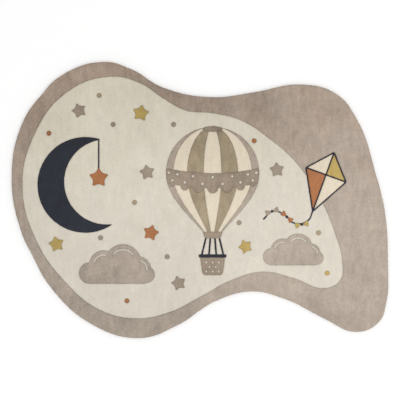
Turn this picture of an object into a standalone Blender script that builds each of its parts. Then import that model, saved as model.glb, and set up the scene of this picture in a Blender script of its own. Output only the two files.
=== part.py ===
"""A free-form kids rug, lying flat: one tufted slab, its cut pile and backing together.

Metres, +Z up. The underside lies on Z = 0, and the origin is under the middle of the
rug's length (X) and width (Y). Run it with: blender --background --python part.py
"""

import math

import bmesh
import bpy
from mathutils import Vector

OBJECT_NAME = "kids_rug"

# Driving dimensions
LENGTH = 1.500          # greatest length, along X
WIDTH = 1.100           # greatest width, along Y
BACKING = 0.0025        # primary cloth, latex and backing cloth, glued into one layer
PILE = 0.0095           # cut pile standing on the backing
THICKNESS = BACKING + PILE
RIM_RADIUS = 0.006      # the pile rolls over the cut edge by this much

# Mesh detail
STEPS_PER_SPAN = 10     # straight steps between two rows of OUTLINE
RIM_STEPS = 3
RIM_ANGLE = math.radians(60)    # an edge sharper than this is a rim
WELD_DISTANCE = 0.0001

PILE_COLOUR = (0.60, 0.56, 0.47, 1.0)
PILE_ROUGHNESS = 0.95

# The cut outline, clockwise from above. A smooth curve runs through these points, and
# is then brought to LENGTH by WIDTH.
OUTLINE = [
    # x, y
    (-0.385, 0.550),    # top of the large lobe
    (-0.270, 0.520),
    (-0.150, 0.450),
    (0.045, 0.410),     # shallow waist in the upper side
    (0.220, 0.430),
    (0.400, 0.460),     # upper right shoulder
    (0.540, 0.425),
    (0.630, 0.315),
    (0.700, 0.110),
    (0.740, -0.060),
    (0.750, -0.250),    # right-hand side of the toe
    (0.745, -0.400),
    (0.710, -0.490),
    (0.620, -0.525),    # lowest point of the toe
    (0.500, -0.475),
    (0.340, -0.395),
    (0.205, -0.365),    # bay in the lower side
    (0.060, -0.405),
    (-0.090, -0.500),
    (-0.240, -0.550),   # bottom of the large lobe
    (-0.430, -0.495),
    (-0.600, -0.340),
    (-0.665, -0.225),
    (-0.710, -0.130),
    (-0.750, 0.090),    # left-hand side of the large lobe
    (-0.705, 0.310),
    (-0.625, 0.425),
    (-0.560, 0.490),
]


def clear_scene():
    for scene_object in list(bpy.data.objects):
        bpy.data.objects.remove(scene_object, do_unlink=True)


def new_collection():
    collection = bpy.data.collections.new(OBJECT_NAME)
    bpy.context.scene.collection.children.link(collection)
    return collection


def pile_material():
    material = bpy.data.materials.new("pile")
    material.use_nodes = True
    surface = material.node_tree.nodes["Principled BSDF"]
    surface.inputs["Base Color"].default_value = PILE_COLOUR
    surface.inputs["Roughness"].default_value = PILE_ROUGHNESS
    surface.inputs["Metallic"].default_value = 0.0
    return material


def outline_curve():
    """Return a filled flat curve through OUTLINE, THICKNESS tall."""
    data = bpy.data.curves.new("rug_outline", "CURVE")
    data.dimensions = "2D"
    data.fill_mode = "BOTH"
    data.extrude = THICKNESS / 2
    data.resolution_u = STEPS_PER_SPAN
    spline = data.splines.new("BEZIER")
    spline.bezier_points.add(len(OUTLINE) - 1)
    spline.use_cyclic_u = True
    for point, (x, y) in zip(spline.bezier_points, OUTLINE):
        point.co = (x, y, 0)
        point.handle_left_type = "AUTO"
        point.handle_right_type = "AUTO"
    curve = bpy.data.objects.new("rug_outline", data)
    bpy.context.scene.collection.objects.link(curve)
    return curve


def closed_slab(curve):
    """Return the curve's body as one welded mesh, and remove the curve."""
    bpy.context.view_layer.update()
    evaluated = curve.evaluated_get(bpy.context.evaluated_depsgraph_get())
    mesh = bpy.data.meshes.new_from_object(evaluated)
    bpy.data.objects.remove(curve, do_unlink=True)
    bm = bmesh.new()
    bm.from_mesh(mesh)
    bmesh.ops.remove_doubles(bm, verts=bm.verts, dist=WELD_DISTANCE)
    bm.to_mesh(mesh)
    bm.free()
    return mesh


def fit_to_size(mesh):
    """Bring the slab to LENGTH by WIDTH, centred over the origin, standing on Z = 0."""
    low = Vector(min(v.co[i] for v in mesh.vertices) for i in range(3))
    high = Vector(max(v.co[i] for v in mesh.vertices) for i in range(3))
    size = high - low
    foot = Vector(((low.x + high.x) / 2, (low.y + high.y) / 2, low.z))
    for vertex in mesh.vertices:
        place = vertex.co - foot
        place.x *= LENGTH / size.x
        place.y *= WIDTH / size.y
        vertex.co = place


def mark_upper_rim(mesh):
    """Give the edges between the pile's top and the rug's side a bevel weight."""
    bm = bmesh.new()
    bm.from_mesh(mesh)
    weight = bm.edges.layers.float.new("bevel_weight_edge")
    for edge in bm.edges:
        is_high = all(vertex.co.z > THICKNESS / 2 for vertex in edge.verts)
        if is_high and edge.calc_face_angle() > RIM_ANGLE:
            edge[weight] = 1.0
    bm.to_mesh(mesh)
    bm.free()


def make_rug(collection):
    mesh = closed_slab(outline_curve())
    fit_to_size(mesh)
    mark_upper_rim(mesh)
    mesh.name = "rug"
    mesh.materials.clear()
    mesh.materials.append(pile_material())
    rug = bpy.data.objects.new("rug", mesh)
    collection.objects.link(rug)

    rounding = rug.modifiers.new("rolled_rim", "BEVEL")
    rounding.width = RIM_RADIUS
    rounding.segments = RIM_STEPS
    rounding.limit_method = "WEIGHT"
    mesh.shade_smooth()
    mesh.set_sharp_from_angle(angle=RIM_ANGLE)
    return rug


def main():
    clear_scene()
    make_rug(new_collection())


main()
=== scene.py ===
"""The looks of a free-form kids rug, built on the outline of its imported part.

One closed mesh carries the cut pile: every figure is a region of its surface with a pile
colour of its own, and a line is carved wherever two colours meet. The pile rolls over
the rim, where short locks of yarn stand out, and the underside is plain backing cloth.
"""
import math

import bpy
import numpy as np
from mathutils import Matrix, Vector, noise
from mathutils.geometry import delaunay_2d_cdt
from mathutils.kdtree import KDTree


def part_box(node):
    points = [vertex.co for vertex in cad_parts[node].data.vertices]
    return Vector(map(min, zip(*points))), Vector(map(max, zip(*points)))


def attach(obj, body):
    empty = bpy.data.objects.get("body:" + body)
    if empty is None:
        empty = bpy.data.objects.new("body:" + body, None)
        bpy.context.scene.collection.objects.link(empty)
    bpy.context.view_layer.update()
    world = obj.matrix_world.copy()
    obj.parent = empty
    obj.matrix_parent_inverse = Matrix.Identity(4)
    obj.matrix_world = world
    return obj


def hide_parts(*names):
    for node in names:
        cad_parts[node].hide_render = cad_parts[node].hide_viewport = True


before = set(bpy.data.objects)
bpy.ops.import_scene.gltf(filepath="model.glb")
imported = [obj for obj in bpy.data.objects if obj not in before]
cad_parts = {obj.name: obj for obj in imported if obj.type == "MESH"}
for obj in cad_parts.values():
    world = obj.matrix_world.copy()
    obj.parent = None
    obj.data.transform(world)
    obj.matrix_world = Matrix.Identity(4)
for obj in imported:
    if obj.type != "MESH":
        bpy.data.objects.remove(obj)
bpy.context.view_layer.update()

MM = 0.001
SEED = 7

# Heights, from the frame
RUG_LOW, RUG_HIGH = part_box("rug")
FLOOR_Z = RUG_LOW.z
PILE_TOP = RUG_HIGH.z
FOOT_LAYER = 0.1 * MM           # what lies lower than this above the floor is the foot

# The rim
RIM_RADIUS = 5 * MM             # the pile rolls over the cut edge by this much
RIM_COVER = 2.4 * MM            # from the part's outline in to the pile's; locks fill the rest

# Points along a curve, before they are spaced evenly
HANDLE_SHARE = 0.39             # a handle's length, as a share of its span's
SPAN_POINTS = 40
CORNER_POINTS = 7
ARC_POINTS = 60
LONG_ARC_POINTS = 200
PATCH_POINTS = (60, 30)         # down a side of a patch of the balloon, and across it

# Mesh spacing
LINE_STEP = 3.2 * MM            # along the edge of a colour
DISC_STEPS = 2.5                # steps to the radius of a small disc
GRID_STEP = 5.3 * MM            # between two points of open pile
GRID_JITTER = 0.18              # of GRID_STEP
UNDERSIDE_STEP = 40 * MM
UNDERSIDE_GAP = UNDERSIDE_STEP / 3
ROWS_BESIDE_LINE = (1.8 * MM, 4.2 * MM)
ROWS_INSIDE_RIM = (0.4 * MM, 1.3 * MM, 2.8 * MM, 4.6 * MM, 7.0 * MM)
ROW_CLEARANCE = 0.9             # a row's least distance from any line, as a share of its own
RIM_GAP = 0.45 * LINE_STEP      # least gap between two points: in a row inside the rim,
LINE_GAP = 0.5 * LINE_STEP      # in a row beside a line,
GRID_GAP = 0.7 * GRID_STEP      # and in open pile
FINE_STEP = 0.5 * MM            # for measuring distances from a line
EDGE_POINTS = 8                 # along the edge of a triangle, for measuring them likewise
EPSILON = 1e-6
INSIDE_CONSTRAINTS = 1          # keeps the triangles that lie inside the loops

# Relief
CARVE_DEPTH = 1.6 * MM
CARVE_REACH = 2.1 * MM
SWELL_HEIGHT = 0.5 * MM         # slow rise and fall of the whole rug
SWELL_SIZE = 0.22
TUFT_HEIGHT = 0.35 * MM         # unevenness of the shorn pile
TUFT_SIZE = 9 * MM
RIM_WANDER = 0.7 * MM           # hand-cut edge
RIM_WANDER_SIZE = 45 * MM
EDGE_WANDER = 0.8 * MM          # the same along the edge of a colour
EDGE_WANDER_SIZE = 8 * MM

# Layers of the noise, so that no two of these are alike
RIM_LAYER = 0
EDGE_LAYERS = (1, 9)            # for x and for y
SWELL_LAYER = 3
TUFT_LAYER = 5

# The cream field, clockwise. A smooth curve runs through these points.
FIELD = [
    # x, y
    (-0.350, 0.490), (-0.240, 0.465), (-0.140, 0.400), (-0.055, 0.355), (0.050, 0.345),
    (0.165, 0.315), (0.280, 0.240), (0.380, 0.150), (0.480, 0.000), (0.535, -0.130),
    (0.565, -0.250), (0.555, -0.320), (0.495, -0.350), (0.370, -0.310), (0.250, -0.285),
    (0.120, -0.320), (0.000, -0.385), (-0.120, -0.445), (-0.250, -0.470), (-0.400, -0.435),
    (-0.535, -0.325), (-0.645, -0.170), (-0.705, 0.050), (-0.655, 0.265), (-0.525, 0.430),
]

# Balloon
BALLOON_X = 0.050
ENVELOPE_TOP = 0.290
ENVELOPE_HEIGHT = 0.420
ENVELOPE_RADIUS = 0.185
ENVELOPE_TAPER = 1.1            # above 1, it narrows a little sooner
MOUTH_HALF = 0.036
GORES = [
    # seams, in degrees to either side of the middle, and the colour between them
    (90, "taupe"), (58, "blush"), (33, "olive"), (11, "blush"),
]
GORE_START = 0.012              # down the envelope
CROWN_HALF = (0.040, 0.011)     # cap over the place where the seams meet
CROWN_DROP = 0.008              # from the envelope's top to the middle of the cap
BAND = (0.39, 0.53)             # its upper and lower edge, down the envelope
BAND_SAG = 0.020
BAND_DOT = 0.0055
BAND_DOT_ROW = 0.033            # from the band's middle to either row of dots, likewise
BAND_DOT_TURN = 13              # degrees from one place for a dot to the next
BAND_DOT_PLACES = 6             # to either side of the middle
BAND_DOT_SPREAD = 0.96          # of the envelope's half width
SCALLOP = 0.021                 # radius of the half rounds under the band
SCALLOP_TURNS = (-62, -38, -18.5, 0, 18.5, 38, 62)

# Basket of the balloon
SKIRT_HEIGHT = 0.022
SKIRT_TAPER = 0.85              # half its width at the foot, as a share of MOUTH_HALF
SKIRT_ROUNDING = 0.006
TUCK = 0.004                    # how far two figures that meet overlap
CORD_WIDTH = 0.007
CORD_SHARES = (-0.9, -0.3, 0.3, 0.9)    # where the cords meet the basket, across it
CORD_GATHER = 0.8               # closer together than that where they leave the skirt
BASKET_TOP = -0.222
BASKET_HEIGHT = 0.076
BASKET_HALF = (0.050, 0.040)    # half its width at the top and at the foot
BASKET_ROUNDING = 0.014
BASKET_RIM = (0.005, 0.013)     # how far it stands out past the basket, and how thick it is
BASKET_DOT = 0.0042
BASKET_DOT_DROPS = (0.026, 0.044, 0.062)
BASKET_DOT_STEP = 0.0125
BASKET_DOT_PLACES = 2           # to either side of the middle

# Moon, with a star on a thread from its upper horn
MOON_CENTRE = (-0.455, 0.060)
MOON_RADIUS = 0.190
MOON_BITE = (0.085, 0.012)      # from the moon's centre to the middle of the bite
MOON_BITE_RADIUS = 0.169
HORN_BLUNTING = (0.03, 0.035)   # radians cut off each end of the outer and the inner curve
HANGING_STAR = (-0.402, 0.088, 0.043, 0, "terracotta")  # as the rows of STARS
THREAD_WIDTH = 0.8 * CORD_WIDTH
THREAD_END = 0.7                # above the star's middle, as a share of its radius

# Kite
KITE_CENTRE = (0.500, 0.100)
KITE_TURN = -20                 # degrees
KITE_HALF = 0.088
KITE_RISE = 0.098               # from where the spars cross to the top
KITE_DROP = 0.160
KITE_FRAME = 0.0055             # width of the dark frame; the spars are as wide
KITE_ROUNDING = (0.008, 0.004)  # of the frame and of the panels in it
KITE_PANELS = ("ochre", "blush", "terracotta", "blush")
KITE_TAIL = [
    # x, y
    (0.449, -0.040), (0.427, -0.083), (0.375, -0.092),
    (0.335, -0.058), (0.290, -0.045), (0.250, -0.078),
]
TAIL_BOWS = [
    # x, y, turn in degrees, colour
    (0.404, -0.097, 10, "ochre"), (0.345, -0.067, -42, "terracotta"), (0.286, -0.045, 18, "stone"),
]
BOW_REACH = 0.026
BOW_HALF = 0.013
BOW_ROUNDING = 0.006
BOW_KNOT = 0.0055

CLOUDS = [
    # x, y, width, colour
    (-0.330, -0.290, 0.300, "taupe"),
    (0.370, -0.225, 0.240, "taupe"),
]
# The foot and the lumps of a cloud are given as shares of its width.
CLOUD_FOOT = (-0.36, 0.40)      # where it starts and ends, across
CLOUD_FOOT_UP = -0.07
CLOUD_FOOT_DEPTH = 0.14
CLOUD_LUMPS = [
    # across, up, radius
    (-0.36, 0.00, 0.14), (-0.17, 0.10, 0.20), (0.08, 0.14, 0.24),
    (0.28, 0.05, 0.17), (0.39, -0.02, 0.11),
]
CLOUD_PUFFS = [
    # which lump, and where the line inside it starts and ends, in degrees
    (1, 75, 165), (2, 35, 140), (3, -5, 75),
]
PUFF_SHARE = 0.70               # radius of that line, as a share of the lump's
PUFF_WIDTH = 0.006

STARS = [
    # x, y, radius, turn in degrees, colour
    (-0.235, 0.345, 0.037, -10, "ochre"),
    (-0.480, 0.355, 0.033, 20, "stone"),
    (-0.570, -0.175, 0.035, 12, "ochre"),
    (-0.195, -0.130, 0.036, -14, "terracotta"),
    (-0.210, 0.110, 0.034, 9, "stone"),
    (-0.085, -0.330, 0.033, 16, "stone"),
    (0.305, 0.120, 0.033, 5, "stone"),
    (0.180, -0.185, 0.032, 24, "ochre"),
]
STAR_POINTS = 5
STAR_WAIST = 0.52               # inner radius of a star, as a share of its radius
STAR_ROUNDING = 0.28            # of its corners, as a share of its radius

SPECKS = [
    # x, y, colour
    (-0.345, 0.300, "brown"), (-0.600, 0.265, "terracotta"), (-0.105, 0.300, "stone"),
    (-0.395, -0.150, "stone"), (-0.260, -0.010, "olive"), (-0.290, -0.400, "terracotta"),
    (0.215, 0.235, "terracotta"), (0.470, -0.130, "olive"), (0.155, -0.090, "brown"),
    (-0.130, -0.225, "brown"), (-0.400, 0.415, "olive"), (0.505, -0.290, "ochre"),
]
SPECK_RADIUS = 0.0095


# ---------------------------------------------------------------- outlines

def even(points, step=LINE_STEP):
    """A closed loop again, with its points about step apart, anticlockwise."""
    closed = np.vstack([points, points[:1]])
    run = np.r_[0, np.cumsum(np.linalg.norm(np.diff(closed, axis=0), axis=1))]
    at = np.linspace(0, run[-1], max(3, round(run[-1] / step)), endpoint=False)
    loop = np.c_[np.interp(at, run, closed[:, 0]), np.interp(at, run, closed[:, 1])]
    x, y = loop.T
    turned_left = (x * np.roll(y, -1) - y * np.roll(x, -1)).sum() > 0
    return loop if turned_left else loop[::-1]


def curve_through(knots, closed):
    """A smooth curve through knots, made of cubic spans."""
    knots = np.array(knots, float)
    if closed:
        run = np.vstack([knots[-1:], knots, knots[:2]])
    else:
        run = np.vstack([2 * knots[0] - knots[1], knots, 2 * knots[-1] - knots[-2]])
    legs = np.diff(run, axis=0)
    lengths = np.linalg.norm(legs, axis=1)[:, None]
    heading = legs[:-1] / lengths[:-1] + legs[1:] / lengths[1:]
    heading /= np.linalg.norm(heading, axis=1)[:, None]
    handle = HANDLE_SHARE * lengths[1:-1]
    start, end = run[1:-2, None], run[2:-1, None]
    leave = start + (handle * heading[:-1])[:, None]
    arrive = end - (handle * heading[1:])[:, None]
    t = np.linspace(0, 1, SPAN_POINTS, endpoint=False)[None, :, None]
    first_half = (1 - t) ** 3 * start + 3 * (1 - t) ** 2 * t * leave
    spans = first_half + 3 * (1 - t) * t ** 2 * arrive + t ** 3 * end
    return spans.reshape(-1, 2)


def smooth_loop(knots):
    """A closed loop of even points on a smooth curve through knots."""
    return even(curve_through(knots, closed=True))


def ribbon(line, width):
    """A strip of even width along a smooth open line."""
    run = np.r_[0, np.cumsum(np.linalg.norm(np.diff(line, axis=0), axis=1))]
    at = np.linspace(0, run[-1], max(2, round(run[-1] / LINE_STEP)))
    line = np.c_[np.interp(at, run, line[:, 0]), np.interp(at, run, line[:, 1])]
    along = np.gradient(line, axis=0)
    along /= np.linalg.norm(along, axis=1)[:, None]
    side = np.c_[-along[:, 1], along[:, 0]] * width / 2
    return even(np.vstack([line + side, (line - side)[::-1]]))


def rounded(corners, radius):
    """A polygon whose corners are rounded off, starting radius away from each."""
    corners = np.array(corners, float)
    t = np.linspace(0, 1, CORNER_POINTS)[:, None]
    out = []
    for before, corner, after in zip(np.roll(corners, 1, 0), corners, np.roll(corners, -1, 0)):
        start = corner + (before - corner) * min(0.5, radius / np.linalg.norm(before - corner))
        end = corner + (after - corner) * min(0.5, radius / np.linalg.norm(after - corner))
        out.append((1 - t) ** 2 * start + 2 * (1 - t) * t * corner + t ** 2 * end)
    return even(np.vstack(out))


def bar(start, end, width):
    """A straight strip, its corners rounded off by a third of its width."""
    start, end = np.array(start), np.array(end)
    along = (end - start) / np.linalg.norm(end - start)
    side = np.array([-along[1], along[0]]) * width / 2
    return rounded([start + side, end + side, end - side, start - side], width / 3)


def arc(centre, radius, start, end, count=ARC_POINTS):
    """Points of a circle between two angles in radians."""
    turn = np.linspace(start, end, count)
    return np.c_[centre[0] + radius * np.cos(turn), centre[1] + radius * np.sin(turn)]


def disc(x, y, radius):
    """A circle, its points closer together where it is small."""
    return even(arc((x, y), radius, 0, 2 * math.pi)[:-1], min(LINE_STEP, radius / DISC_STEPS))


def turned(points, turn, centre):
    """Points turned by so many degrees, then moved."""
    c, s = math.cos(math.radians(turn)), math.sin(math.radians(turn))
    return np.array(points) @ np.array([[c, s], [-s, c]]) + centre


def inset(corners, distances_in):
    """A triangle whose edges have each moved in; the first edge leaves the first corner."""
    corners = np.array(corners, float)
    middle = corners.mean(0)
    edges = []
    for start, end, distance in zip(corners, np.roll(corners, -1, 0), distances_in):
        normal = np.array([end[1] - start[1], start[0] - end[0]]) / np.linalg.norm(end - start)
        normal *= math.copysign(1, normal @ (middle - start))
        edges.append((normal, normal @ start + distance))
    return [
        np.linalg.solve([before[0], edge[0]], [before[1], edge[1]])
        for before, edge in zip([edges[-1], *edges[:-1]], edges)
    ]


def noises(points, size, layer):
    """Smooth noise about 0 at each point; size is about how far apart its swells are."""
    return np.array([noise.noise(Vector((x / size, y / size, layer))) for x, y in points])


def outward(loop):
    """Unit vectors square to an anticlockwise loop, pointing out of it."""
    along = np.roll(loop, -1, 0) - np.roll(loop, 1, 0)
    along /= np.linalg.norm(along, axis=1)[:, None]
    return np.c_[along[:, 1], -along[:, 0]]


def rug_outline():
    """The part's outline, read from its foot, with the slight wander of a hand-cut edge."""
    places = np.array([v.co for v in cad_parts["rug"].data.vertices])
    foot = np.unique(places[places[:, 2] < FLOOR_Z + FOOT_LAYER, :2].round(5), axis=0)
    # Every point of the rim can be seen from the middle, so its turn puts it in order.
    loop = smooth_loop(foot[np.argsort(np.arctan2(foot[:, 1], foot[:, 0]))])
    return loop + outward(loop) * RIM_WANDER * noises(loop, RIM_WANDER_SIZE, RIM_LAYER)[:, None]


# ---------------------------------------------------------------- figures

def envelope_half(down):
    """Half the envelope's width at a share of the way down it: a round crown, then a taper."""
    widest = ENVELOPE_RADIUS / ENVELOPE_HEIGHT
    if down < widest:
        return ENVELOPE_RADIUS * math.sqrt(max(0, 1 - ((widest - down) / widest) ** 2))
    taper = math.cos(math.pi / 2 * (down - widest) / (1 - widest))
    return MOUTH_HALF + (ENVELOPE_RADIUS - MOUTH_HALF) * max(0, taper) ** ENVELOPE_TAPER


def on_envelope(across, down, sag=0.0):
    """A point of the envelope: across from -1 to 1, down from 0 to 1."""
    x = BALLOON_X + across * envelope_half(down)
    return x, ENVELOPE_TOP - ENVELOPE_HEIGHT * down - sag * (1 - across ** 2)


def envelope_patch(left, right, top, bottom, sag=0.0):
    """The part of the envelope between two seams and two heights."""
    down_points, across_points = PATCH_POINTS
    downs = top + (bottom - top) * (1 - np.cos(np.linspace(0, math.pi, down_points))) / 2
    acrosses = np.linspace(left, right, across_points)
    sides = [
        [on_envelope(left, down, sag) for down in downs],
        [on_envelope(across, bottom, sag) for across in acrosses],
        [on_envelope(right, down, sag) for down in downs[::-1]],
        [on_envelope(across, top, sag) for across in acrosses[::-1]],
    ]
    return even(np.vstack(sides))


def balloon():
    """The striped envelope, its scalloped band with dots and its cap, and the basket."""
    shapes = []
    for turn, colour in GORES:
        seam = math.sin(math.radians(turn))
        shapes.append((colour, envelope_patch(-seam, seam, GORE_START, 1.0)))
    for turn in SCALLOP_TURNS:
        x, y = on_envelope(math.sin(math.radians(turn)), BAND[1], BAND_SAG)
        shapes.append(("brown", disc(x, y, SCALLOP * math.cos(math.radians(turn)))))
    shapes.append(("brown", envelope_patch(-1, 1, *BAND, BAND_SAG)))
    middle = sum(BAND) / 2
    for row, down in enumerate((middle - BAND_DOT_ROW, middle + BAND_DOT_ROW)):
        for step in range(-BAND_DOT_PLACES + row, BAND_DOT_PLACES + 1, 2):
            across = BAND_DOT_SPREAD * math.sin(math.radians(step * BAND_DOT_TURN))
            shapes.append(("cream", disc(*on_envelope(across, down, BAND_SAG), BAND_DOT)))
    crown = arc((0, 0), 1.0, 0, 2 * math.pi)[:-1] * CROWN_HALF
    shapes.append(("brown", even(crown + (BALLOON_X, ENVELOPE_TOP - CROWN_DROP))))
    return shapes + balloon_basket()


def balloon_basket():
    """The skirt under the envelope, the cords and the basket with its dark rim."""
    mouth = ENVELOPE_TOP - ENVELOPE_HEIGHT
    skirt_foot = mouth - SKIRT_HEIGHT
    shapes = []
    for share in CORD_SHARES:
        upper = (BALLOON_X + share * MOUTH_HALF * CORD_GATHER, skirt_foot + TUCK)
        lower = (BALLOON_X + share * BASKET_HALF[0], BASKET_TOP - TUCK)
        shapes.append(("ink", bar(upper, lower, CORD_WIDTH)))
    skirt = balloon_panel(MOUTH_HALF + TUCK, mouth + TUCK, MOUTH_HALF * SKIRT_TAPER, skirt_foot)
    basket = balloon_panel(BASKET_HALF[0], BASKET_TOP, BASKET_HALF[1], BASKET_TOP - BASKET_HEIGHT)
    shapes.append(("brown", rounded(skirt, SKIRT_ROUNDING)))
    shapes.append(("brown", rounded(basket, BASKET_ROUNDING)))
    rim = BASKET_HALF[0] + BASKET_RIM[0]
    ends = [(BALLOON_X - rim, BASKET_TOP), (BALLOON_X + rim, BASKET_TOP)]
    shapes.append(("ink", bar(*ends, BASKET_RIM[1])))
    for row, drop in enumerate(BASKET_DOT_DROPS):
        for step in range(-BASKET_DOT_PLACES + row % 2, BASKET_DOT_PLACES + 1, 2):
            x = BALLOON_X + step * BASKET_DOT_STEP
            shapes.append(("cream", disc(x, BASKET_TOP - drop, BASKET_DOT)))
    return shapes


def balloon_panel(top_half, top, foot_half, foot):
    """The corners of a panel in line with the balloon, from half its width at two heights."""
    corners = [(-top_half, top), (top_half, top), (foot_half, foot), (-foot_half, foot)]
    return np.array(corners) + (BALLOON_X, 0)


def moon():
    """A disc less a bite, its two horns a little blunt, and the star that hangs from one."""
    centre = np.array(MOON_CENTRE)
    bite = centre + MOON_BITE
    apart = np.linalg.norm(bite - centre)
    facing = math.atan2(MOON_BITE[1], MOON_BITE[0])
    around = facing + 2 * math.pi
    reach = (apart ** 2 + MOON_RADIUS ** 2 - MOON_BITE_RADIUS ** 2) / (2 * apart)
    outer = math.acos(reach / MOON_RADIUS) + HORN_BLUNTING[0]
    inner = math.acos((reach - apart) / MOON_BITE_RADIUS) + HORN_BLUNTING[1]
    back = arc(centre, MOON_RADIUS, facing + outer, around - outer, LONG_ARC_POINTS)
    hollow = arc(bite, MOON_BITE_RADIUS, around - inner, facing + inner, LONG_ARC_POINTS)
    x, y, radius = HANGING_STAR[:3]
    thread = bar((x, back[0, 1]), (x, y + THREAD_END * radius), THREAD_WIDTH)
    return [("ink", even(np.vstack([back, hollow]))), ("ink", thread), star(*HANGING_STAR)]


def kite():
    """A dark frame with two spars, four panels set into it, and a tail with bows."""
    tips = np.array([(0, KITE_RISE), (KITE_HALF, 0), (0, -KITE_DROP), (-KITE_HALF, 0)])
    shapes = [("ink", rounded(turned(tips, KITE_TURN, KITE_CENTRE), KITE_ROUNDING[0]))]
    for colour, tip, after in zip(KITE_PANELS, tips, np.roll(tips, -1, 0)):
        corners = inset([(0, 0), tip, after], (KITE_FRAME / 2, KITE_FRAME, KITE_FRAME / 2))
        panel = turned(corners, KITE_TURN, KITE_CENTRE)
        shapes.append((colour, rounded(panel, KITE_ROUNDING[1])))
    shapes.append(("ink", ribbon(curve_through(KITE_TAIL, closed=False), THREAD_WIDTH)))
    for x, y, turn, colour in TAIL_BOWS:
        for side in (1, -1):
            wing = [(0, 0), (side * BOW_REACH, -BOW_HALF), (side * BOW_REACH, BOW_HALF)]
            shapes.append((colour, rounded(turned(wing, turn, (x, y)), BOW_ROUNDING)))
        shapes.append(("ink", disc(x, y, BOW_KNOT)))
    return shapes


def cloud(x, y, width, colour):
    """Round lumps over a flat foot, all of one colour, so that no line shows between them."""
    ends = [(x + across * width, y + CLOUD_FOOT_UP * width) for across in CLOUD_FOOT]
    shapes = [(colour, bar(*ends, CLOUD_FOOT_DEPTH * width))]
    for across, up, size in CLOUD_LUMPS:
        shapes.append((colour, disc(x + across * width, y + up * width, size * width)))
    for lump, start, end in CLOUD_PUFFS:
        across, up, size = CLOUD_LUMPS[lump]
        centre = (x + across * width, y + up * width)
        line = arc(centre, PUFF_SHARE * size * width, math.radians(start), math.radians(end))
        shapes.append(("cream", ribbon(line, PUFF_WIDTH)))
    return shapes


def star(x, y, radius, turn, colour):
    """A star with blunt tips, one of them up before it is turned."""
    corners = []
    for i in range(2 * STAR_POINTS):
        reach = radius * (1, STAR_WAIST)[i % 2]
        angle = math.radians(90 + turn + 180 / STAR_POINTS * i)
        corners.append((x + reach * math.cos(angle), y + reach * math.sin(angle)))
    return colour, rounded(corners, radius * STAR_ROUNDING)


def figures():
    """Every coloured region, in the order in which one lies over another."""
    edge = rug_outline()
    shapes = [("taupe", edge - RIM_COVER * outward(edge)), ("cream", smooth_loop(FIELD))]
    for row in CLOUDS:
        shapes += cloud(*row)
    shapes += moon() + balloon() + kite()
    shapes += [star(*row) for row in STARS]
    shapes += [(colour, disc(x, y, SPECK_RADIUS)) for x, y, colour in SPECKS]
    return shapes


# ---------------------------------------------------------------- mesh of the pile

def fine(loop):
    """The loop's own points and more between them, about FINE_STEP apart."""
    ahead = np.roll(loop, -1, 0)
    pieces = max(1, round(np.linalg.norm(ahead - loop, axis=1).max() / FINE_STEP))
    t = np.arange(pieces)[None, :, None] / pieces
    return (loop[:, None] * (1 - t) + ahead[:, None] * t).reshape(-1, 2)


def tree_of(points):
    """The points of a plane, ready for distances()."""
    tree = KDTree(len(points))
    for i, (x, y) in enumerate(points):
        tree.insert((x, y, 0), i)
    tree.balance()
    return tree


def distances(tree, points):
    """How far each point is from the nearest one in the tree."""
    return np.array([tree.find((x, y, 0))[2] for x, y in points])


def inside(points, loop):
    """Which points lie in the loop, by counting the edges to the right of each."""
    x, y = points.T
    hits = np.zeros(len(points), int)
    for (ax, ay), (bx, by) in zip(loop, np.roll(loop, -1, 0)):
        if ay == by:
            continue
        crosses = (ay > y) != (by > y)
        hits[crosses] += x[crosses] < ax + (y[crosses] - ay) * (bx - ax) / (by - ay)
    return hits % 2 == 1


class Spread:
    """Keeps points that stay a given gap from all those kept before."""

    def __init__(self):
        self.cells = {}
        self.kept = []

    def add(self, points, gap):
        for x, y in points:
            column, row = int(x // GRID_STEP), int(y // GRID_STEP)
            near = (
                other
                for i in (column - 1, column, column + 1)
                for j in (row - 1, row, row + 1)
                for other in self.cells.get((i, j), ())
            )
            if all((x - a) ** 2 + (y - b) ** 2 >= gap ** 2 for a, b in near):
                self.cells.setdefault((column, row), []).append((x, y))
                self.kept.append((x, y))


def hexagonal(low, high, step):
    """A triangular grid of points over a box."""
    rows = np.arange(low[1], high[1], step * math.sqrt(3) / 2)
    columns = np.arange(low[0], high[0], step)
    shift = np.where(np.arange(len(rows)) % 2, step / 2, 0)
    return np.array([(x + dx, y) for y, dx in zip(rows, shift) for x in columns])


def pile_points(outline, lines):
    """Where the mesh has points besides those on the lines."""
    rng = np.random.default_rng(SEED)
    rim = tree_of(fine(outline))
    any_line = tree_of(np.vstack([fine(loop) for loop in lines]))
    spread = Spread()
    for distance in ROWS_INSIDE_RIM:
        row = outline - distance * outward(outline)
        clear = distances(rim, row) > ROW_CLEARANCE * distance
        clear &= distances(any_line, row) > LINE_STEP
        spread.add(row[clear], RIM_GAP)
    deepest = ROWS_INSIDE_RIM[-1]
    for distance in ROWS_BESIDE_LINE:
        for loop in lines:
            for side in (1, -1):
                row = loop + side * distance * outward(loop)
                row = row[distances(any_line, row) > ROW_CLEARANCE * distance]
                row = row[inside(row, outline)]
                row = row[distances(rim, row) > deepest]
                spread.add(row, LINE_GAP)
    grid = hexagonal(outline.min(0), outline.max(0), GRID_STEP)
    grid = grid + rng.uniform(-1, 1, grid.shape) * GRID_JITTER * GRID_STEP
    grid = grid[inside(grid, outline)]
    clear = (distances(rim, grid) > deepest) & (distances(any_line, grid) > ROWS_BESIDE_LINE[0])
    spread.add(grid[clear], GRID_GAP)
    return np.array(spread.kept)


def tufted(loop):
    """A colour's edge as hand-placed tufts leave it, a little uneven."""
    wander = [noises(loop, EDGE_WANDER_SIZE, layer) for layer in EDGE_LAYERS]
    return loop + EDGE_WANDER * np.array(wander).T


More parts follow.
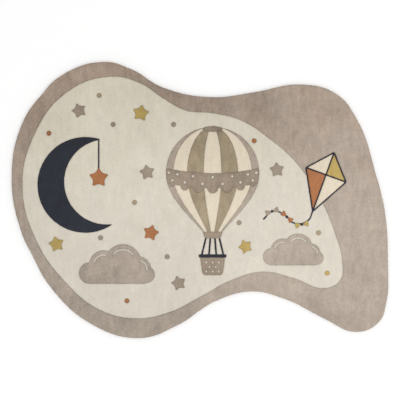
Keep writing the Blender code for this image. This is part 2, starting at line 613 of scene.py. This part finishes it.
def triangulated(shapes):
    """Points, triangles, the colour of each triangle and the indices of the outline's points."""
    outline = shapes[0][1]
    loops = [outline] + [tufted(loop) for _, loop in shapes[1:]]
    starts = np.cumsum([0] + [len(loop) for loop in loops])
    faces = [list(range(a, b)) for a, b in zip(starts, starts[1:])]
    points = np.vstack(loops + [pile_points(outline, loops[1:])])
    verts, _, triangles, sources, _, regions = delaunay_2d_cdt(
        [Vector(point) for point in points], [], faces, INSIDE_CONSTRAINTS, EPSILON)
    colours = [shapes[max(region)][0] for region in regions]
    place = {source: i for i, group in enumerate(sources) for source in group}
    return np.array(verts), triangles, colours, [place[i] for i in faces[0]]


def carved_lines(points, triangles, colours):
    """Points along every edge where two colours meet."""
    beside = {}
    for triangle, colour in zip(triangles, colours):
        for a, b in zip(triangle, triangle[1:] + triangle[:1]):
            beside.setdefault((min(a, b), max(a, b)), set()).add(colour)
    meeting = np.array([edge for edge, found in beside.items() if len(found) == 2])
    starts, ends = points[meeting[:, 0]], points[meeting[:, 1]]
    t = np.linspace(0, 1, EDGE_POINTS)[None, :, None]
    return (starts[:, None] * (1 - t) + ends[:, None] * t).reshape(-1, 2)


# ---------------------------------------------------------------- the rug

WALL = [
    # height above the floor, how far in from the edge of the pile (below 0, out), finish
    (3.2 * MM, 0.2 * MM, "taupe"),
    (2.6 * MM, 0.3 * MM, "taupe"),
    (2.4 * MM, -0.7 * MM, "backing"),
    (0.4 * MM, -0.7 * MM, "backing"),
    (0.0 * MM, -0.2 * MM, "backing"),
]
SHARP_ANGLE = math.radians(70)
MAP_GAP = 16 * MM               # in the map, from the top with its wall to the underside
UNDERSIDE_SCALE = 0.32          # of the underside in the map


def roll(distance):
    """How far the pile has dropped at a distance in from the outline."""
    in_from_crown = np.clip(RIM_RADIUS - distance, 0, RIM_RADIUS)
    return RIM_RADIUS - np.sqrt(RIM_RADIUS ** 2 - in_from_crown ** 2)


def keep(mesh, name, values):
    """Stores a number for each vertex, for the finishes to read."""
    mesh.attributes.new(name, "FLOAT", "POINT").data.foreach_set("value", values)


def painted_light_at(points):
    """Painted light and shade at each point: how much lighter the pile is painted there."""
    lean = np.zeros(len(points))
    for x, y, reach, strength in PAINTED_LIGHT_PATCHES:
        lean += strength * np.exp(-((points - (x, y)) ** 2).sum(1) / reach ** 2)
    return lean


def linked(name, data):
    """A new object in the scene."""
    thing = bpy.data.objects.new(name, data)
    bpy.context.collection.objects.link(thing)
    return thing


def make_rug(materials):
    """The pile, the wall round it and the underside, as one closed mesh."""
    shapes = figures()
    points, triangles, colours, rim = triangulated(shapes)
    line = carving(points, triangles, colours)
    verts = np.c_[points, pile_heights(points, shapes[0][1], rim, line)]
    faces = [list(triangle) for triangle in triangles]
    verts, foot, unfolded = with_wall(verts, rim, faces, colours)
    top_count = len(faces)
    verts = with_underside(verts, foot, faces, colours)

    mesh = bpy.data.meshes.new("rug")
    mesh.from_pydata(verts.tolist(), [], faces)
    for material in materials.values():
        mesh.materials.append(material)
    names = list(materials)
    mesh.polygons.foreach_set("material_index", [names.index(colour) for colour in colours])
    mesh.shade_smooth()
    mesh.set_sharp_from_angle(angle=SHARP_ANGLE)
    # depth in a carved line, which the finishes also turn into painted shade
    keep(mesh, "line", np.r_[line, np.zeros(len(verts) - len(points))])
    # painted light and shade in patches, for the finishes to add to the colour
    keep(mesh, "lean", painted_light_at(verts[:, :2]))
    lay_out_map(mesh, unfolded, verts[:, :2], top_count)
    return linked("rug_pile", mesh)


def carving(points, triangles, colours):
    """How deep each point lies in a carved line: 0 in open pile, 1 at the bottom."""
    carved = tree_of(carved_lines(points, triangles, colours))
    return np.exp(-(distances(carved, points) / CARVE_REACH) ** 2)


def pile_heights(points, outline, rim, line):
    """The height of each point, from the roll of the rim, the uneven pile and the lines."""
    from_rim = distances(tree_of(fine(outline)), points)
    from_rim[rim] = 0
    swell = SWELL_HEIGHT * noises(points, SWELL_SIZE, SWELL_LAYER)
    uneven = swell + TUFT_HEIGHT * noises(points, TUFT_SIZE, TUFT_LAYER)
    return PILE_TOP - roll(from_rim) + uneven - CARVE_DEPTH * line


def with_wall(verts, rim, faces, colours):
    """Adds the faces of the wall and their colours.

    Gives all the points with the wall's, its lowest loop and where each point lies in the map.
    """
    edge = verts[rim]
    plan = edge[:, :2]
    square = outward(plan)
    depth = 0.0
    unfolded = [verts[:, :2]]
    upper, last = list(rim), edge
    for above, distance_in, finish in WALL:
        loop = np.c_[plan - distance_in * square, np.full(len(rim), FLOOR_Z + above)]
        depth = depth + np.linalg.norm(loop - last, axis=1)[:, None]
        unfolded.append(plan + depth * square)
        first = len(verts)
        lower = list(range(first, first + len(rim)))
        for i in range(len(rim)):
            faces.append([upper[i - 1], lower[i - 1], lower[i], upper[i]])
            colours.append(finish)
        verts = np.vstack([verts, loop])
        upper, last = lower, loop
    return verts, upper, np.vstack(unfolded)


def with_underside(verts, foot, faces, colours):
    """Adds the faces of the underside and their colours. Gives all the points with its own."""
    rim = verts[foot][:, :2]
    grid = hexagonal(rim.min(0), rim.max(0), UNDERSIDE_STEP)
    grid = grid[inside(grid, rim)]
    grid = grid[distances(tree_of(rim), grid) > UNDERSIDE_GAP]
    flat = [Vector(point) for point in np.vstack([rim, grid])]
    loop = list(range(len(rim)))
    _, _, cells, sources, _, _ = delaunay_2d_cdt(flat, [], [loop], INSIDE_CONSTRAINTS, EPSILON)
    index = foot + list(range(len(verts), len(verts) + len(grid)))
    for cell in cells:
        faces.append([index[min(sources[i])] for i in reversed(cell)])
        colours.append("backing")
    return np.vstack([verts, np.c_[grid, np.full(len(grid), FLOOR_Z)]])


def lay_out_map(mesh, unfolded, plan, top_count):
    """A map of the top with the wall folded outwards, and of the underside in the strip above."""
    low = unfolded.min(0) - MM
    side = np.ptp(unfolded, axis=0).max() + 2 * MM
    top = (unfolded - low) / side
    under = (plan - plan.min(0)) * UNDERSIDE_SCALE / side
    under[:, 1] += top[:, 1].max() + MAP_GAP / side
    corners = np.zeros(len(mesh.loops), int)
    mesh.loops.foreach_get("vertex_index", corners)
    first_under = mesh.polygons[top_count].loop_start
    places = np.vstack([top[corners[:first_under]], under[corners[first_under:]]])
    layer = mesh.uv_layers.new(name="OFBake")
    layer.data.foreach_set("uv", places.ravel())


# ---------------------------------------------------------------- finishes

PILES = {
    # two linear colours that it drifts between, towards the upper left and towards the lower
    # right, the lower right one lighter as painted light, and how strongly it is mottled
    "taupe": ((0.408, 0.313, 0.244), (0.418, 0.353, 0.295), 1.0),
    "cream": ((0.665, 0.614, 0.493), (0.680, 0.634, 0.548), 0.4),
    "ink": ((0.022, 0.025, 0.036), (0.024, 0.027, 0.039), 1.0),
    "brown": ((0.275, 0.215, 0.163), (0.325, 0.260, 0.200), 1.0),
    "blush": ((0.690, 0.610, 0.485), (0.740, 0.650, 0.515), 0.4),
    "olive": ((0.335, 0.268, 0.175), (0.355, 0.288, 0.195), 1.0),
    "terracotta": ((0.380, 0.150, 0.060), (0.400, 0.165, 0.070), 0.8),
    "ochre": ((0.465, 0.335, 0.105), (0.480, 0.350, 0.120), 0.8),
    "stone": ((0.315, 0.252, 0.196), (0.335, 0.275, 0.215), 0.8),
}

# Painted light: a colour turns into its lighter lower right one along this slope, a little
# unevenly.
PAINTED_LIGHT_SLOPE = (0.25, -1.4, 0.0)
DRIFT_MIDDLE = 0.42             # share of the lower right colour at the middle

PAINTED_LIGHT_PATCHES = [
    # x, y, reach, and how much lighter the pile is painted there, as painted light and shade
    (-0.64, 0.36, 0.20, -0.24), (-0.20, 0.44, 0.23, -0.24), (0.16, 0.43, 0.24, -0.21),
    (-0.72, -0.04, 0.26, -0.16), (-0.34, -0.46, 0.36, -0.15), (-0.04, -0.44, 0.14, -0.07),
    (0.30, -0.35, 0.24, 0.09), (0.66, -0.04, 0.38, 0.14), (0.67, -0.49, 0.10, 0.12),
    (0.54, -0.48, 0.08, -0.14), (-0.25, -0.15, 0.35, 0.08), (0.64, 0.22, 0.14, -0.06),
]

# Noise that changes a colour: size, strength to either side, detail
DRIFT_PATCHES = (0.09, 0.70, 2.0)       # of the mix of the two colours; the rest lighten and darken
PATCHES = (0.10, 0.20, 2.0)
BRUSHING = (26 * MM, 0.16, 3.0)
FLECKS = (7 * MM, 0.18, 1.0)
STREAKS = (16 * MM, 0.20, 3.0)  # marks of shearing, which run along y
STREAK_STRETCH = 4.0
FIBRES = (1.5 * MM, 0.10, 1.0)
WEAVE = (9 * MM, 0.12, 2.0)     # of the backing cloth
NOISE_ROUGHNESS = 0.55

# Single tufts, and the carved lines
TUFT_ACROSS = 2.6 * MM
TUFT_SCATTER = 0.9              # 0 would set the tufts in a square grid
TUFT_PAINTED_SHADE = 0.16                # painted shade, lost from the top of a tuft to TUFT_ACROSS away from it
TUFT_LEVEL = 0.6                # share of a tuft's height where its colour is unchanged; above it painted light, below painted shade
TUFT_BUMP = (0.55, 0.9 * MM)    # strength, height
LINE_PAINTED_SHADE = 0.26               # painted shade, lost at the bottom of a carved line

PILE_SURFACE = {
    "Roughness": 0.95,
    "Specular IOR Level": 0.25,
    "Sheen Weight": 0.10,
    "Sheen Roughness": 0.6,
}
BACKING_COLOUR = (0.52, 0.48, 0.42)
BACKING_ROUGHNESS = 0.9
FLOOR_COLOUR = (0.98, 0.985, 0.995)
FLOOR_ROUGHNESS = 0.85


class Finish:
    """A material being put together: add() makes a node and links or sets its inputs."""

    def __init__(self, name):
        self.material = bpy.data.materials.new(name)
        self.material.use_nodes = True
        self.tree = self.material.node_tree
        self.shader = self.tree.nodes["Principled BSDF"]
        self.place = self.add("TexCoord").outputs["Object"]

    def add(self, kind, inputs=None, **settings):
        node = self.tree.nodes.new("ShaderNode" + kind)
        for name, value in settings.items():
            setattr(node, name, value)
        self.feed(node, inputs or {})
        return node

    def feed(self, node, inputs):
        """Links each input to a socket, or sets it to a value."""
        for name, value in inputs.items():
            if isinstance(value, bpy.types.NodeSocket):
                self.tree.links.new(value, node.inputs[name])
            else:
                node.inputs[name].default_value = value

    def math(self, operation, first, second=0.0, third=0.0):
        return self.add("Math", {0: first, 1: second, 2: third}, operation=operation).outputs[0]

    def attribute(self, name):
        return self.add("Attribute", attribute_name=name).outputs["Fac"]

    def clamped(self, value):
        return self.add("Math", {0: value}, operation="ADD", use_clamp=True).outputs[0]

    def scaled(self, colour, tone):
        inputs = {0: colour, "Scale": tone}
        return self.add("VectorMath", inputs, operation="SCALE").outputs["Vector"]

    def noise(self, size, strength, detail, share=1.0, place=None):
        """Noise to either side of 0, up to a share of its strength, in blots about size across."""
        blots = self.add("TexNoise", {
            "Vector": place or self.place,
            "Scale": 1 / size,
            "Detail": detail,
            "Roughness": NOISE_ROUGHNESS,
        })
        swing = strength * share
        return self.math("MULTIPLY_ADD", blots.outputs["Fac"], 2 * swing, -swing)


def pile_finish(name, upper_left, lower_right, mottle):
    """Dense shorn pile: matt, softly mottled, a tuft at every few millimetres; painted light and
    shade.
    """
    finish = Finish(f"{name}_pile")
    # painted light: lighter towards the lower right, mixed with random patches
    slope = finish.add("VectorMath", {0: finish.place, 1: PAINTED_LIGHT_SLOPE}, operation="DOT_PRODUCT")
    patches = finish.noise(*DRIFT_PATCHES)
    painted_light_and_patches = finish.math("ADD", slope.outputs["Value"], DRIFT_MIDDLE)
    painted_light_and_patches = finish.math("ADD", painted_light_and_patches, patches)
    colour = finish.add("MixRGB", {
        "Fac": finish.clamped(painted_light_and_patches),
        "Color1": (*upper_left, 1),
        "Color2": (*lower_right, 1),
    })

    stretched = finish.add("Mapping", {
        "Vector": finish.place,
        "Scale": (1.0, 1 / STREAK_STRETCH, 1.0),
    })
    tuft = finish.add("TexVoronoi", {
        "Vector": finish.place,
        "Scale": 1 / TUFT_ACROSS,
        "Randomness": TUFT_SCATTER,
    })
    crown = finish.math("SUBTRACT", 1.0, tuft.outputs["Distance"])
    swings = [
        finish.noise(*PATCHES, mottle),
        finish.noise(*BRUSHING, mottle),
        finish.noise(*FLECKS, mottle),
        finish.noise(*STREAKS, mottle, stretched.outputs["Vector"]),
        finish.noise(*FIBRES),
        # painted shade between the tufts and painted light on their tops
        finish.math("MULTIPLY_ADD", crown, TUFT_PAINTED_SHADE, -TUFT_LEVEL * TUFT_PAINTED_SHADE),
        # painted shade in the carved lines
        finish.math("MULTIPLY", finish.attribute("line"), -LINE_PAINTED_SHADE),
        # painted light and shade in patches, scaled like the mottling
        finish.math("MULTIPLY", finish.attribute("lean"), mottle),
    ]
    tone = 1.0
    for swing in swings:
        tone = finish.math("ADD", swing, tone)
    shaded = finish.scaled(colour.outputs["Color"], tone)
    strength, height = TUFT_BUMP
    bump = finish.add("Bump", {"Strength": strength, "Distance": height, "Height": crown})
    finish.feed(finish.shader, {"Base Color": shaded, "Normal": bump.outputs["Normal"]})
    finish.feed(finish.shader, PILE_SURFACE)
    return finish.material


def backing_finish():
    """Plain woven cloth, glued flat."""
    finish = Finish("backing_cloth")
    tone = finish.math("ADD", finish.noise(*WEAVE), 1.0)
    shaded = finish.scaled(BACKING_COLOUR, tone)
    finish.feed(finish.shader, {"Base Color": shaded, "Roughness": BACKING_ROUGHNESS})
    return finish.material


def floor_finish():
    """Plain pale floor."""
    finish = Finish("pale_floor")
    finish.feed(finish.shader, {"Base Color": (*FLOOR_COLOUR, 1), "Roughness": FLOOR_ROUGHNESS})
    return finish.material


# ---------------------------------------------------------------- locks at the rim

LOCK_ROWS = [
    # root in from the outline, root above the floor, how far it leans out, rise
    (2.3 * MM, 2.6 * MM, 0.4 * MM, 4.0 * MM),
    (3.0 * MM, 3.4 * MM, 1.0 * MM, 5.4 * MM),
    (4.0 * MM, 4.8 * MM, 1.2 * MM, 5.6 * MM),
    (5.2 * MM, 6.4 * MM, 1.0 * MM, 5.2 * MM),
]
LOCK_PITCH = 2.3 * MM
LOCK_RINGS = [
    # share of the way up, radius
    (0.0, 0.9 * MM), (0.55, 1.15 * MM), (0.9, 0.75 * MM),
]
LOCK_SIDES = 4
LOCK_BEND = 1.6                 # above 1, a lock rises first and leans out towards its tip
LOCK_SCATTER = (0.25 * MM, 0.35 * MM)   # of the root, and of the tip from it
LOCK_PAINTED_LIGHT = 0.22                # how much lighter they are painted than the pile beside them, as painted light where they shade one another


def make_edge_locks(outline, material):
    """Rows of short locks of yarn that lean out over the rim and break up its outline."""
    rng = np.random.default_rng(SEED + 1)
    verts, faces = [], []
    for distance_in, root, lean, rise in LOCK_ROWS:
        row = even(outline - distance_in * outward(outline), LOCK_PITCH)
        for (x, y), (out_x, out_y) in zip(row, outward(row)):
            root_scatter, tip_scatter = (Vector(rng.normal(0, size, 3)) for size in LOCK_SCATTER)
            foot = Vector((x, y, FLOOR_Z + root)) + root_scatter
            reach = Vector((out_x * lean, out_y * lean, rise)) + tip_scatter
            add_lock(verts, faces, foot, reach, Vector((out_x, out_y, 0)))
    mesh = bpy.data.meshes.new("edge_locks")
    mesh.from_pydata(verts, [], faces)
    mesh.materials.append(material)
    mesh.shade_smooth()
    # painted light: the pile's painted light patches, lifted further on the locks
    keep(mesh, "lean", painted_light_at(np.array(verts)[:, :2]) + LOCK_PAINTED_LIGHT)
    return linked("edge_locks", mesh)


def add_lock(verts, faces, foot, reach, out):
    """One closed lock: rings of LOCK_SIDES points that bend outwards and end in a tip."""
    side = out.cross(Vector((0, 0, 1)))
    first = len(verts)
    for share, radius in LOCK_RINGS:
        bend = share ** LOCK_BEND
        middle = foot + Vector((reach.x * bend, reach.y * bend, reach.z * share))
        for i in range(LOCK_SIDES):
            turn = 2 * math.pi * i / LOCK_SIDES
            verts.append(middle + radius * (math.cos(turn) * side + math.sin(turn) * out))
    verts.append(foot + reach)
    tip = len(verts) - 1
    faces.append([first + i for i in range(LOCK_SIDES)][::-1])
    for ring in range(len(LOCK_RINGS) - 1):
        base = first + ring * LOCK_SIDES
        for i in range(LOCK_SIDES):
            j = (i + 1) % LOCK_SIDES
            faces.append([base + i, base + j, base + LOCK_SIDES + j, base + LOCK_SIDES + i])
    base = tip - LOCK_SIDES
    for i in range(LOCK_SIDES):
        faces.append([base + i, base + (i + 1) % LOCK_SIDES, tip])


# ---------------------------------------------------------------- studio

FLOOR_SIZE = 60.0
CAMERA_LENS = 85.0
PICTURE_WIDTH = 1.587           # what the picture shows at the height of the pile
KEY_PLACE = (1.6, -1.9, 4.2)
KEY_SIZE = 3.8
KEY_POWER = 41.0
KEY_COLOUR = (1.0, 0.985, 0.96)
SKY_COLOUR = (1.0, 0.995, 0.985)
SKY_STRENGTH = 0.92


def make_floor():
    """A large plain floor under the rug."""
    bpy.ops.mesh.primitive_plane_add(size=FLOOR_SIZE, location=(0, 0, FLOOR_Z))
    floor = bpy.context.object
    floor.name = "floor"
    floor.data.materials.append(floor_finish())
    return floor


def light_studio():
    """A pale sky and one large soft light, which the camera doesn't see."""
    world = bpy.data.worlds.new("studio")
    world.use_nodes = True
    sky = world.node_tree.nodes["Background"]
    sky.inputs["Color"].default_value = (*SKY_COLOUR, 1)
    sky.inputs["Strength"].default_value = SKY_STRENGTH
    bpy.context.scene.world = world
    bpy.context.scene.view_settings.view_transform = "Standard"

    light = bpy.data.lights.new("key", "AREA")
    light.size = KEY_SIZE
    light.energy = KEY_POWER
    light.color = KEY_COLOUR
    key = linked("key", light)
    key.location = KEY_PLACE
    key.rotation_euler = (-Vector(KEY_PLACE)).to_track_quat("-Z", "Y").to_euler()
    key.visible_camera = False


def look_down():
    """The camera, straight above the middle of the rug."""
    camera = bpy.data.cameras.new("camera")
    camera.lens = CAMERA_LENS
    away = PICTURE_WIDTH * camera.lens / camera.sensor_width
    viewer = linked("camera", camera)
    viewer.location = (0, 0, PILE_TOP + away)
    bpy.context.scene.camera = viewer


def make_scene():
    """The two pieces and what they ride on, then the studio round them."""
    materials = {name: pile_finish(name, *row) for name, row in PILES.items()}
    materials["backing"] = backing_finish()
    rug = make_rug(materials)
    locks = make_edge_locks(rug_outline(), materials["taupe"])
    for piece in (rug, locks):
        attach(piece, "root")
    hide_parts("rug")
    make_floor()
    light_studio()
    look_down()


make_scene()
